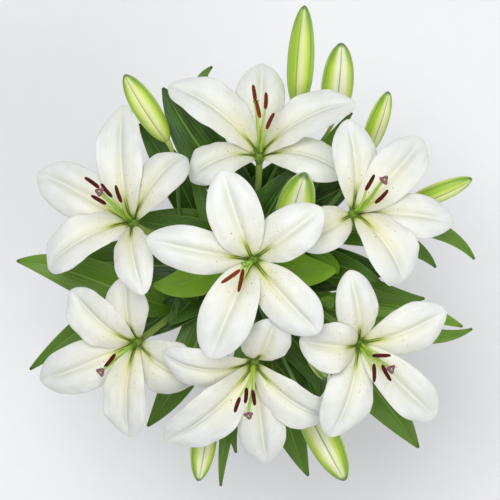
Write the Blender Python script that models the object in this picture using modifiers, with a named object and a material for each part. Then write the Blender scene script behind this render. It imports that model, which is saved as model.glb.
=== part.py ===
"""Seven open white lilies with nine buds and their leaves, standing in a plain ceramic vase.

Metres, +Z up. The origin is the middle of the vase's underside. X points right and Y away from
the front. Bearings are degrees anticlockwise from +X, seen from above.
"""

import math

import bmesh
import bpy
from mathutils import Vector

# Vase: radii of the outside at the foot, belly, neck and lip, the belly's height, and how far the
# neck is below the lip.
VASE_HEIGHT = 0.250
VASE_FOOT_RADIUS = 0.046
VASE_BELLY_RADIUS = 0.066
VASE_BELLY_HEIGHT = 0.105
VASE_NECK_RADIUS = 0.050
VASE_NECK_DROP = 0.035
VASE_NECK_HEIGHT = VASE_HEIGHT - VASE_NECK_DROP
VASE_LIP_RADIUS = 0.056
VASE_WALL = 0.005
VASE_FLOOR = 0.008
VASE_SIDES = 36
VASE_PROFILE_STEPS = 10

# Stems: they stand on a small ring on the vase's floor and fan out through its mouth. The middle
# stem stands upright. Curve lengths are the handles of the Bezier curves that the stems follow.
STEM_RADIUS = 0.0042
STEM_UPPER_RADIUS = 0.0036
STALK_RADIUS = 0.0024
RECEPTACLE_RADIUS = 0.0036
RECEPTACLE_LENGTH = 0.012
STEM_FOOT_CLEARANCE = 0.0148
STEM_MOUTH_CLEARANCE = 0.0098
STEM_RING_LOW = VASE_FOOT_RADIUS - VASE_WALL - STEM_RADIUS - STEM_FOOT_CLEARANCE
STEM_RING_HIGH = VASE_NECK_RADIUS - VASE_WALL - STEM_RADIUS - STEM_MOUTH_CLEARANCE
MIDDLE_STEM_WITHIN = 0.03
STEM_FOOT_LIFT = 0.0013
STEM_CURVE = 0.085
STEM_TOP_CURVE = 0.068
STALK_CURVE = 0.030
GAP = 0.0003
WELD = 0.00001

# Flowers. Rises are in degrees. A shape is the pair of exponents that a width follows, towards
# the base and towards the tip. Handles are Bezier handles, in metres or as shares of a length.
TEPAL_THICKNESS = 0.0009
HUB_RADIUS = 0.0052
HUB_HALF_SIDE = 0.0030
INNER_LIFT = 0.0030
INNER_DRAW_IN = 0.0014
INNER_RISE = 68
OUTER_RISE = 60
THROAT_HANDLE = 0.034
TEPAL_TIP_HANDLE = 0.42
TEPAL_SHAPE = (1.15, 0.75)
TEPAL_CUP = 0.16
TEPAL_TIP_HALF = 0.0012
TEPAL_ROWS, TEPAL_COLUMNS = 7, 4
FILAMENT_RADIUS = 0.0008
STYLE_RADIUS = 0.0013
OVARY_RADIUS = 0.0022
OVARY_LENGTH = 0.014
ANTHER_LENGTH = 0.021
ANTHER_WIDTH = 0.0042
STIGMA_RADIUS = 0.0036
STIGMA_LENGTH = 0.0047
STYLE_START = 0.0090
FILAMENT_START = 0.0054
CENTRE_HANDLES = (0.45, 0.25)
CENTRE_STEPS = 4

# Leaves and buds.
LEAF_THICKNESS = 0.0009
LEAF_SHAPE = (0.60, 0.95)
LEAF_HANDLES = (0.35, 0.32)
LEAF_CLIMB = 0.3
LEAF_ARCH = (1.6, 1.2)
LEAF_FOLD = 0.22
LEAF_TIP_HALF = 0.0014
LEAF_ROWS = 6
BUD_SHAPE = (0.55, 0.60)
BUD_SIDES, BUD_RINGS = 10, 8
BUD_BASE_RADIUS = 0.0030

# Points in the tables below have heights measured from the vase's lip.
#
# Each lily: the point where its tepals meet; the bearing and angle that its axis leans from
# upright; its tepals in turn, outer and inner alternately, each as (bearing and reach of the tip
# seen from above, height of the tip along the axis, width, angle that the tip dips below level);
# its stamens as (bearing and reach of the anther seen from above, its height along the axis,
# bearing that the anther lies along); and its stigma as (bearing, reach, height).
LILIES = {
    1: {
        "base": (-0.125, 0.029, 0.180),
        "lean": (135, 25),
        "tepals": [
            (50, 0.090, 0.004, 0.048, 75),
            (95, 0.126, 0.018, 0.049, 25),
            (152, 0.115, 0.016, 0.054, 30),
            (209, 0.101, 0.010, 0.050, 50),
            (281, 0.077, 0.022, 0.042, 30),
        ],
        "stamens": [
            (133, 0.056, 0.078, 145),
            (144, 0.039, 0.070, 150),
            (126, 0.040, 0.072, 130),
            (111, 0.031, 0.068, 110),
        ],
        "stigma": (134, 0.043, 0.084),
    },
    2: {
        "base": (0.010, 0.101, 0.150),
        "lean": (90, 35),
        "tepals": [
            (346, 0.092, 0.002, 0.052, 60),
            (29, 0.117, 0.040, 0.050, 20),
            (88, 0.101, 0.030, 0.052, 20),
            (142, 0.123, 0.036, 0.052, 25),
            (201, 0.078, 0.000, 0.046, 75),
        ],
        "stamens": [
            (95, 0.064, 0.080, 98),
            (92, 0.046, 0.075, 102),
            (83, 0.056, 0.076, 88),
            (72, 0.036, 0.066, 65),
        ],
        "stigma": (94, 0.055, 0.069),
    },
    3: {
        "base": (0.109, 0.038, 0.200),
        "lean": (35, 22),
        "tepals": [
            (209, 0.069, 0.018, 0.046, 25),
            (305, 0.088, 0.004, 0.056, 65),
            (355, 0.106, 0.018, 0.046, 30),
            (47, 0.108, 0.022, 0.050, 25),
            (94, 0.099, 0.024, 0.047, 20),
        ],
        "stamens": [
            (66, 0.034, 0.072, 60),
            (32, 0.031, 0.068, 45),
        ],
        "stigma": (50, 0.044, 0.080),
    },
    4: {
        "base": (0.003, -0.010, 0.245),
        "lean": (225, 8),
        "tepals": [
            (37, 0.088, 0.020, 0.052, 25),
            (109, 0.097, 0.024, 0.054, 20),
            (169, 0.112, 0.020, 0.048, 25),
            (246, 0.111, 0.022, 0.056, 25),
            (312, 0.101, 0.018, 0.054, 35),
        ],
        "stamens": [
            (217, 0.028, 0.062, 215),
            (240, 0.024, 0.060, 258),
        ],
        "stigma": (205, 0.010, 0.048),
    },
    5: {
        "base": (-0.121, -0.099, 0.145),
        "lean": (215, 25),
        "tepals": [
            (98, 0.072, 0.024, 0.046, 15),
            (141, 0.090, 0.022, 0.052, 20),
            (202, 0.115, 0.016, 0.054, 30),
            (265, 0.103, 0.014, 0.048, 35),
            (328, 0.076, 0.006, 0.063, 40),
        ],
        "stamens": [
            (214, 0.031, 0.068, 230),
        ],
        "stigma": (219, 0.045, 0.080),
    },
    6: {
        "base": (0.004, -0.118, 0.190),
        "lean": (272, 35),
        "tepals": [
            (174, 0.096, 0.000, 0.046, 60),
            (222, 0.127, 0.026, 0.056, 25),
            (277, 0.111, 0.028, 0.050, 25),
            (325, 0.101, 0.014, 0.050, 45),
            (64, 0.053, 0.030, 0.050, 0),
        ],
        "stamens": [
            (247, 0.045, 0.072, 252),
            (256, 0.033, 0.066, 265),
            (270, 0.034, 0.070, 278),
        ],
        "stigma": (264, 0.052, 0.086),
    },
    7: {
        "base": (0.115, -0.099, 0.185),
        "lean": (315, 22),
        "tepals": [
            (99, 0.079, 0.026, 0.045, 15),
            (175, 0.064, 0.020, 0.052, 25),
            (253, 0.103, 0.018, 0.056, 30),
            (316, 0.115, 0.018, 0.046, 30),
            (21, 0.098, 0.022, 0.052, 20),
        ],
        "stamens": [
            (335, 0.023, 0.062, 0),
            (295, 0.031, 0.064, 272),
            (312, 0.038, 0.068, 300),
        ],
        "stigma": (322, 0.038, 0.080),
    },
}

# Each bud: the stem that carries it, how far up that stem's curved part its stalk leaves, its base
# point, its tip point and its greatest radius.
BUDS = {
    "bud_upper_left": (1, 0.45, (-0.088, 0.116, 0.145), (-0.133, 0.186, 0.175), 0.0140),
    "bud_top": (2, 0.30, (0.052, 0.152, 0.118), (0.058, 0.260, 0.168), 0.0148),
    "bud_top_right": (2, 0.20, (0.092, 0.145, 0.078), (0.099, 0.224, 0.122), 0.0180),
    "bud_upper_right": (3, 0.40, (0.125, 0.104, 0.128), (0.147, 0.168, 0.174), 0.0116),
    "bud_right": (3, 0.55, (0.167, 0.048, 0.140), (0.236, 0.076, 0.168), 0.0112),
    "bud_centre": (4, 0.55, (0.040, 0.015, 0.180), (0.056, 0.078, 0.255), 0.0200),
    "bud_bottom_left": (6, 0.30, (-0.046, -0.176, 0.090), (-0.056, -0.250, 0.122), 0.0142),
    "bud_bottom": (6, 0.22, (0.058, -0.162, 0.085), (0.103, -0.249, 0.125), 0.0190),
    "bud_lower_right": (7, 0.50, (0.058, -0.080, 0.135), (0.080, -0.138, 0.168), 0.0120),
}

# Each leaf: the stem that carries it, how far up that stem's curved part it leaves, the bearings
# it leaves and ends on, its tip point, its width, and how far it arches up.
LEAVES = {
    "leaf_left": (5, 0.62, 165, 178, (-0.253, -0.012, 0.115), 0.046, 0.014),
    "leaf_lower_left_edge": (5, 0.35, 178, 220, (-0.243, -0.132, 0.068), 0.032, 0.015),
    "leaf_upper_left": (2, 0.55, 150, 120, (-0.094, 0.175, 0.130), 0.050, 0.018),
    "leaf_behind_bud": (1, 0.35, 100, 125, (-0.120, 0.137, 0.115), 0.038, 0.015),
    "leaf_top_left": (2, 0.35, 120, 35, (-0.041, 0.200, 0.100), 0.026, 0.010),
    "leaf_right_tip": (3, 0.66, 15, 305, (0.243, -0.010, 0.118), 0.024, 0.012),
    "leaf_right": (3, 0.46, 5, 305, (0.201, -0.019, 0.120), 0.028, 0.014),
    "leaf_right_low": (3, 0.28, 320, 0, (0.187, -0.052, 0.150), 0.028, 0.018),
    "leaf_right_upper_edge": (7, 0.55, 5, 335, (0.230, -0.083, 0.120), 0.028, 0.015),
    "leaf_right_lower_edge": (7, 0.40, 340, 25, (0.243, -0.086, 0.095), 0.026, 0.012),
    "leaf_lower_right": (7, 0.30, 310, 305, (0.185, -0.217, 0.085), 0.058, 0.015),
    "leaf_bottom_right": (6, 0.08, 285, 295, (0.065, -0.252, 0.040), 0.052, 0.012),
    "leaf_bottom": (6, 0.45, 262, 268, (-0.032, -0.258, 0.095), 0.019, 0.012),
    "leaf_bottom_small": (6, 0.60, 262, 285, (-0.015, -0.220, 0.116), 0.018, 0.010),
    "leaf_bottom_left": (5, 0.25, 255, 230, (-0.114, -0.196, 0.050), 0.044, 0.012),
    "leaf_mid_left_bright": (4, 0.30, 205, 165, (-0.104, -0.036, 0.175), 0.042, 0.020),
    "leaf_mid_right_bright": (4, 0.32, 325, 10, (0.092, -0.021, 0.190), 0.042, 0.020),
    "leaf_mid_left_dark": (4, 0.25, 165, 160, (-0.098, 0.035, 0.155), 0.034, 0.020),
    "leaf_right_inner": (4, 0.22, 350, 330, (0.139, -0.034, 0.162), 0.034, 0.020),
    "leaf_upper_right_strip": (3, 0.30, 75, 50, (0.110, 0.148, 0.135), 0.020, 0.012),
    "leaf_centre_back": (4, 0.20, 70, 60, (0.048, 0.088, 0.115), 0.046, 0.020),
    "leaf_centre_left": (4, 0.12, 215, 225, (-0.090, -0.082, 0.112), 0.046, 0.015),
}

COLOURS = {
    "vase": ((0.86, 0.85, 0.82, 1), 0.25),
    "tepal": ((0.90, 0.90, 0.86, 1), 0.55),
    "stamen": ((0.45, 0.12, 0.04, 1), 0.80),
    "bud": ((0.55, 0.68, 0.28, 1), 0.50),
    "leaf": ((0.10, 0.26, 0.05, 1), 0.45),
    "stem": ((0.20, 0.38, 0.10, 1), 0.50),
}


def material(name):
    """The plain Principled material of that name, made on first use."""
    found = bpy.data.materials.get(name)
    if found:
        return found
    made = bpy.data.materials.new(name)
    made.use_nodes = True
    shader = made.node_tree.nodes["Principled BSDF"]
    colour, roughness = COLOURS[name]
    shader.inputs["Base Color"].default_value = colour
    shader.inputs["Roughness"].default_value = roughness
    shader.inputs["Metallic"].default_value = 0.0
    return made


def add_object(name, bm, collection, finish):
    """The named object made of a bmesh, shaded smooth, with its own copy of a material."""
    mesh = bpy.data.meshes.new(name)
    bm.to_mesh(mesh)
    bm.free()
    made = bpy.data.objects.new(name, mesh)
    collection.objects.link(made)
    own = material(finish).copy()
    own.name = f"{name}_{finish}"
    mesh.materials.append(own)
    mesh.shade_smooth()
    return made


def heading(bearing):
    """The level unit vector along a bearing."""
    turn = math.radians(bearing)
    return Vector((math.cos(turn), math.sin(turn), 0))


def from_lip(point):
    """A point whose height is measured from the vase's lip."""
    return Vector(point) + Vector((0, 0, VASE_HEIGHT))


def leaning(bearing, angle):
    """The unit vector that leans an angle from upright along a bearing."""
    lean = math.radians(angle)
    return heading(bearing) * math.sin(lean) + Vector((0, 0, math.cos(lean)))


def from_above(axis, bearing, reach, height):
    """The offset at a bearing and reach seen from above whose height along the axis is given."""
    offset = heading(bearing) * reach
    offset.z = (height - offset.dot(axis)) / axis.z
    return offset


def bezier(points, t):
    """The point and the direction of a cubic Bezier curve at t."""
    a, b, c, d = points
    s = 1 - t
    at = a * s**3 + b * (3 * s * s * t) + c * (3 * s * t * t) + d * t**3
    along = (b - a) * (3 * s * s) + (c - b) * (6 * s * t) + (d - c) * (3 * t * t)
    return at, along.normalized()


def leaf_share(t, shape):
    """A blade's width at t as a share of its widest: t^rise (1-t)^fall over its greatest value."""
    rise, fall = shape
    widest = rise / (rise + fall)
    return t**rise * (1 - t) ** fall / (widest**rise * (1 - widest) ** fall)


def grid_sheet(bm, rows, columns, place):
    """A grid moved to place(t, v), t from 0 to 1 along it and v from -1 to 1 across it.

    Returns the vertices of its first row.
    """
    made = bmesh.ops.create_grid(bm, x_segments=columns, y_segments=rows, size=1)
    ends = []
    for vert in made["verts"]:
        t, v = (vert.co.y + 1) / 2, vert.co.x
        vert.co = place(t, v)
        if t < WELD:
            ends.append(vert)
    return ends


def thicken(made, thickness):
    """A Solidify wall, half of it on each side of the sheet."""
    wall = made.modifiers.new("wall", "SOLIDIFY")
    wall.thickness = thickness
    wall.offset = 0


def tepal_place(base, axis, tepal, inner):
    """The function that gives a tepal's points.

    Its midline is a Bezier curve in the plane of the axis and the tip. It leaves the hub at
    a steep rise, and dips at the tip. Its cross-section is a parabola: an inner tepal's edges turn
    up and an outer one's turn down.
    """
    bearing, reach, tip_height, width, dip = tepal
    tip = from_above(axis, bearing, reach, tip_height)
    outward = (tip - axis * tip_height).normalized()
    radius = tip.dot(outward)
    side = axis.cross(outward)
    lift = INNER_LIFT if inner else 0.0
    start = HUB_RADIUS - (INNER_DRAW_IN if inner else 0.0)
    rise, fall = math.radians(INNER_RISE if inner else OUTER_RISE), math.radians(dip)
    first = Vector((start, lift, 0))
    last = Vector((radius, tip_height, 0))
    length = (last - first).length
    second = first + Vector((math.cos(rise), math.sin(rise), 0)) * THROAT_HANDLE
    third = last - Vector((math.cos(fall), -math.sin(fall), 0)) * (TEPAL_TIP_HANDLE * length)
    cup = TEPAL_CUP if inner else -TEPAL_CUP

    def place(t, v):
        at, along = bezier((first, second, third, last), t)
        share = leaf_share(t, TEPAL_SHAPE)
        end = HUB_HALF_SIDE + (TEPAL_TIP_HALF - HUB_HALF_SIDE) * t
        half = end + (width / 2 - end) * share
        up = axis * along.x - outward * along.y
        bend = cup * share * (half * v * v)
        return base + outward * at.x + axis * at.y + side * (half * v) + up * bend

    return place


def tepal_ring(name, lily, inner, collection):
    """One ring of a lily: its tepals joined to a flat hub, as one walled sheet."""
    base, axis = from_lip(lily["base"]), leaning(*lily["lean"])
    bm = bmesh.new()
    rim = []
    for number, tepal in enumerate(lily["tepals"]):
        if (number % 2 == 1) == inner:
            place = tepal_place(base, axis, tepal, inner)
            rim += grid_sheet(bm, TEPAL_ROWS, TEPAL_COLUMNS, place)
    across = axis.orthogonal().normalized()
    over = axis.cross(across)

    def turn(vert):
        spoke = vert.co - base
        return math.atan2(spoke.dot(over), spoke.dot(across))

    bm.faces.new(sorted(rim, key=turn))
    bmesh.ops.recalc_face_normals(bm, faces=bm.faces)
    thicken(add_object(name, bm, collection, "tepal"), TEPAL_THICKNESS)


def tube(name, points, radii, sides, collection, finish):
    """A capped round tube through points, made from a curve with a bevel and welded shut."""
    curve = bpy.data.curves.new(name, "CURVE")
    curve.dimensions = "3D"
    curve.bevel_depth = 1.0
    curve.bevel_resolution = (sides - 4) // 2
    curve.use_fill_caps = True
    spline = curve.splines.new("POLY")
    spline.points.add(len(points) - 1)
    for slot, at, radius in zip(spline.points, points, radii):
        slot.co = (*at, 1)
        slot.radius = radius
    holder = bpy.data.objects.new(name + "_curve", curve)
    collection.objects.link(holder)
    graph = bpy.context.evaluated_depsgraph_get()
    mesh = bpy.data.meshes.new_from_object(holder.evaluated_get(graph))
    bpy.data.objects.remove(holder)
    bm = bmesh.new()
    bm.from_mesh(mesh)
    bmesh.ops.remove_doubles(bm, verts=bm.verts, dist=WELD)
    bmesh.ops.recalc_face_normals(bm, faces=bm.faces)
    return add_object(name, bm, collection, finish)


def ball(name, centre, along, length, width, collection, finish):
    """A closed ellipsoid of a length along a direction and a width across it."""
    bm = bmesh.new()
    bmesh.ops.create_uvsphere(bm, u_segments=6, v_segments=5, radius=0.5)
    turn = along.to_track_quat("Z", "Y").to_matrix()
    for vert in bm.verts:
        vert.co = centre + turn @ Vector((vert.co.x * width, vert.co.y * width, vert.co.z * length))
    return add_object(name, bm, collection, finish)


def unite(made, helpers):
    """Joins helpers to an object with Boolean unions, and leaves one closed mesh."""
    for helper in helpers:
        join = made.modifiers.new(helper.name, "BOOLEAN")
        join.operation = "UNION"
        join.solver = "MANIFOLD"
        join.object = helper
    graph = bpy.context.evaluated_depsgraph_get()
    mesh = bpy.data.meshes.new_from_object(made.evaluated_get(graph))
    made.modifiers.clear()
    made.data = mesh
    for helper in helpers:
        bpy.data.objects.remove(helper)
    return made


def along_axis(base, axis, target, height, out):
    """Points to a target from beside the axis at a height, leaving along the axis."""
    spoke = target - base
    spoke -= axis * spoke.dot(axis)
    start = base + axis * height + spoke.normalized() * out
    first, last = (axis * (share * (target - start).length) for share in CENTRE_HANDLES)
    shape = (start, start + first, target - last, target)
    return [bezier(shape, step / CENTRE_STEPS)[0] for step in range(CENTRE_STEPS + 1)]


def flower_centre(name, lily, collection, cutters):
    """The ovary, style and stigma with the stamens round them, as one piece."""
    base, axis = from_lip(lily["base"]), leaning(*lily["lean"])
    floor = INNER_LIFT + TEPAL_THICKNESS / 2 + GAP
    foot = [base + axis * floor, base + axis * (floor + OVARY_LENGTH)]
    made = tube(name, foot, [OVARY_RADIUS, STIGMA_RADIUS / 2], 8, collection, "stamen")
    thin = CENTRE_STEPS + 1
    end = base + from_above(axis, *lily["stigma"])
    style = along_axis(base, axis, end, floor + STYLE_START, 0)
    along = (style[-1] - style[-2]).normalized()
    helpers = [
        tube("style", style, [STYLE_RADIUS] * thin, 6, cutters, "stem"),
        ball("stigma", end, along, STIGMA_LENGTH, STIGMA_RADIUS * 2, cutters, "stamen"),
    ]
    for number, (bearing, reach, height, lie) in enumerate(lily["stamens"]):
        end = base + from_above(axis, bearing, reach, height)
        path = along_axis(base, axis, end, floor + FILAMENT_START, STIGMA_RADIUS / 2)
        along = from_above(axis, lie, 1.0, 0.0).normalized()
        helpers += [
            tube(f"filament_{number}", path, [FILAMENT_RADIUS] * thin, 6, cutters, "stem"),
            ball(f"anther_{number}", end, along, ANTHER_LENGTH, ANTHER_WIDTH, cutters, "stamen"),
        ]
    unite(made, helpers)


def stem_ring(number):
    """Where a stem stands on the vase's floor and where it passes the mouth."""
    x, y, _ = LILIES[number]["base"]
    level = Vector((x, y, 0))
    way = level.normalized() if level.length > MIDDLE_STEM_WITHIN else level * 0
    low = way * STEM_RING_LOW + Vector((0, 0, VASE_FLOOR + GAP + STEM_FOOT_LIFT))
    high = way * STEM_RING_HIGH + Vector((0, 0, VASE_HEIGHT))
    return low, high


def stem_curve(number):
    """A stem's curved part, from the vase's mouth to just under its lily."""
    lily = LILIES[number]
    axis = leaning(*lily["lean"])
    top = from_lip(lily["base"]) - axis * (TEPAL_THICKNESS / 2 + GAP)
    foot, mouth = stem_ring(number)
    rise = (mouth - foot).normalized()
    return mouth, mouth + rise * STEM_CURVE, top - axis * STEM_TOP_CURVE, top


def stem_radius(share):
    """A stem's radius at a share of its curved part. It narrows just before the middle."""
    narrowed = min(max(share * 9 - 4, 0), 1)
    return STEM_RADIUS + (STEM_UPPER_RADIUS - STEM_RADIUS) * narrowed


def stalk(name, shape, collection):
    """A bud's stalk, from a place on its stem's curved part to just under the bud."""
    _, share, base, tip, _ = BUDS[name]
    start, along = bezier(shape, share)
    way = (from_lip(tip) - from_lip(base)).normalized()
    end = from_lip(base) - way * GAP
    path = (start, start + along * STALK_CURVE, end - way * STALK_CURVE, end)
    line = [bezier(path, step / 6)[0] for step in range(7)]
    radii = [STALK_RADIUS] * 6 + [BUD_BASE_RADIUS]
    return tube(name + "_stalk", line, radii, 8, collection, "stem")


def stem(number, collection, cutters):
    """A stem standing in the vase and bending to its lily, with the stalks of its buds."""
    shape = stem_curve(number)
    foot, _ = stem_ring(number)
    top = shape[3]
    neck = top - leaning(*LILIES[number]["lean"]) * RECEPTACLE_LENGTH
    line = [foot] + [bezier(shape, step / 9)[0] for step in range(9)] + [neck, top]
    radii = [STEM_RADIUS] + [stem_radius(step / 9) for step in range(8)]
    radii += [STALK_RADIUS] * 2 + [RECEPTACLE_RADIUS]
    made = tube(f"stem_{number}", line, radii, 8, collection, "stem")
    carried = [name for name in BUDS if BUDS[name][0] == number]
    unite(made, [stalk(name, shape, cutters) for name in carried])


def bud(name, collection):
    """A closed bud: a sphere drawn out so that its radius along it follows the bud's shape."""
    _, _, base, tip, widest = BUDS[name]
    base, tip = from_lip(base), from_lip(tip)
    way = tip - base
    turn = way.to_track_quat("Z", "Y").to_matrix()
    bm = bmesh.new()
    bmesh.ops.create_uvsphere(bm, u_segments=BUD_SIDES, v_segments=BUD_RINGS, radius=1)
    for vert in bm.verts:
        t = min(max((vert.co.z + 1) / 2, 0), 1)
        round_off = math.hypot(vert.co.x, vert.co.y)
        spoke = Vector((vert.co.x, vert.co.y, 0))
        if round_off > WELD:
            spoke *= widest * leaf_share(t, BUD_SHAPE) / round_off
        vert.co = base + way * t + turn @ spoke
    add_object(name, bm, collection, "bud")


def leaf(name, collection):
    """A leaf blade: a folded sheet along a Bezier midline, from its stem to its tip."""
    carrier, share, leaving, ending, tip, width, arch = LEAVES[name]
    tip = from_lip(tip)
    start, along = bezier(stem_curve(carrier), share)
    way = heading(leaving)
    clear = way - along * way.dot(along)
    base = start + clear.normalized() * (stem_radius(share) + LEAF_THICKNESS + GAP)
    span = tip - base
    level = math.hypot(span.x, span.y)
    climb = Vector((0, 0, LEAF_CLIMB * span.z))
    out = way * (LEAF_HANDLES[0] * level) + climb + Vector((0, 0, LEAF_ARCH[0] * arch))
    back = heading(ending) * (LEAF_HANDLES[1] * level) + climb - Vector((0, 0, LEAF_ARCH[1] * arch))
    shape = (base, base + out, tip - back, tip)

    def place(t, v):
        at, along = bezier(shape, t)
        side = Vector((0, 0, 1)).cross(along).normalized()
        up = along.cross(side)
        half = LEAF_TIP_HALF + (width / 2 - LEAF_TIP_HALF) * leaf_share(t, LEAF_SHAPE)
        return at + side * (half * v) + up * (LEAF_FOLD * half * abs(v))

    bm = bmesh.new()
    grid_sheet(bm, LEAF_ROWS, 2, place)
    bmesh.ops.recalc_face_normals(bm, faces=bm.faces)
    thicken(add_object(name, bm, collection, "leaf"), LEAF_THICKNESS)


def smooth(a, b, share):
    """A value that eases from a to b as share goes from 0 to 1."""
    return a + (b - a) * (1 - math.cos(math.pi * share)) / 2


def vase_radius(height):
    """The vase's outer radius at a height, eased between its foot, belly, neck and lip."""
    places = [
        (0, VASE_FOOT_RADIUS),
        (VASE_BELLY_HEIGHT, VASE_BELLY_RADIUS),
        (VASE_NECK_HEIGHT, VASE_NECK_RADIUS),
        (VASE_HEIGHT, VASE_LIP_RADIUS),
    ]
    for (low, a), (high, b) in zip(places, places[1:]):
        if height < high:
            return smooth(a, b, (height - low) / (high - low))
    return VASE_LIP_RADIUS


def vase(collection):
    """The vase: its inside and outside as one profile, turned round Z with a Screw modifier."""
    shares = [step / VASE_PROFILE_STEPS for step in range(VASE_PROFILE_STEPS + 1)]
    inner = [VASE_FLOOR + (VASE_HEIGHT - VASE_FLOOR) * share for share in shares]
    outer = [VASE_HEIGHT * share for share in reversed(shares)]
    profile = [(0, VASE_FLOOR)]
    profile += [(vase_radius(z) - VASE_WALL, z) for z in inner]
    profile += [(vase_radius(z), z) for z in outer]
    profile += [(0, 0)]
    bm = bmesh.new()
    verts = [bm.verts.new((x, 0, z)) for x, z in profile]
    for a, b in zip(verts, verts[1:]):
        bm.edges.new((a, b))
    made = add_object("vase", bm, collection, "vase")
    turn = made.modifiers.new("turn", "SCREW")
    turn.steps = VASE_SIDES
    turn.render_steps = VASE_SIDES
    turn.use_merge_vertices = True
    turn.merge_threshold = 0.0001


def build():
    """The whole arrangement, in a collection named for it."""
    for old in list(bpy.data.objects):
        bpy.data.objects.remove(old)
    parts = bpy.data.collections.new("lilies_in_vase")
    cutters = bpy.data.collections.new("cutters")
    for collection in (parts, cutters):
        bpy.context.scene.collection.children.link(collection)
    vase(parts)
    for number, lily in LILIES.items():
        stem(number, parts, cutters)
        tepal_ring(f"lily_{number}_outer_tepals", lily, False, parts)
        tepal_ring(f"lily_{number}_inner_tepals", lily, True, parts)
        flower_centre(f"lily_{number}_stamens_and_pistil", lily, parts, cutters)
    for name in BUDS:
        bud(name, parts)
    for name in LEAVES:
        leaf(name, parts)


build()
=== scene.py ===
"""The looks of seven open white lilies, nine buds and their leaves in a plain ceramic vase.

Every surface is a formula on a grid, worked out with numpy in the row frame: metres, +Z up, the
origin in the middle of the vase's underside. Bearings are degrees anticlockwise from +X, seen from
above. Heights in the tables are measured from the vase's lip.
"""

import bpy
import mathutils
import numpy as np
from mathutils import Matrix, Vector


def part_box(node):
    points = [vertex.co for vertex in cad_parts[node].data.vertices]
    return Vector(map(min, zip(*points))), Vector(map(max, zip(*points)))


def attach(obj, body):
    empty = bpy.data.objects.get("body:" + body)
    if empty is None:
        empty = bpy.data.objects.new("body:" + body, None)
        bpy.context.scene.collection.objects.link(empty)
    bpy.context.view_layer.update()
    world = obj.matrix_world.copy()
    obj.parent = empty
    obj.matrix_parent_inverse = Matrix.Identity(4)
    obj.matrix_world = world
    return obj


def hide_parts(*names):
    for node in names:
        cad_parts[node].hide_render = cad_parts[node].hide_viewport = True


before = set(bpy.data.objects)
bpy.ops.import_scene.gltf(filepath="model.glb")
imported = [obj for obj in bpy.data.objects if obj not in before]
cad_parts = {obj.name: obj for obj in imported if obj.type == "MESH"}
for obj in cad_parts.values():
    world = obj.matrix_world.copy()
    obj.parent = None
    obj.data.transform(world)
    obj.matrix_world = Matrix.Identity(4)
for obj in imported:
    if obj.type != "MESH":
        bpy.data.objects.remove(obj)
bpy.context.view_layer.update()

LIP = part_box("vase")[1].z

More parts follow.
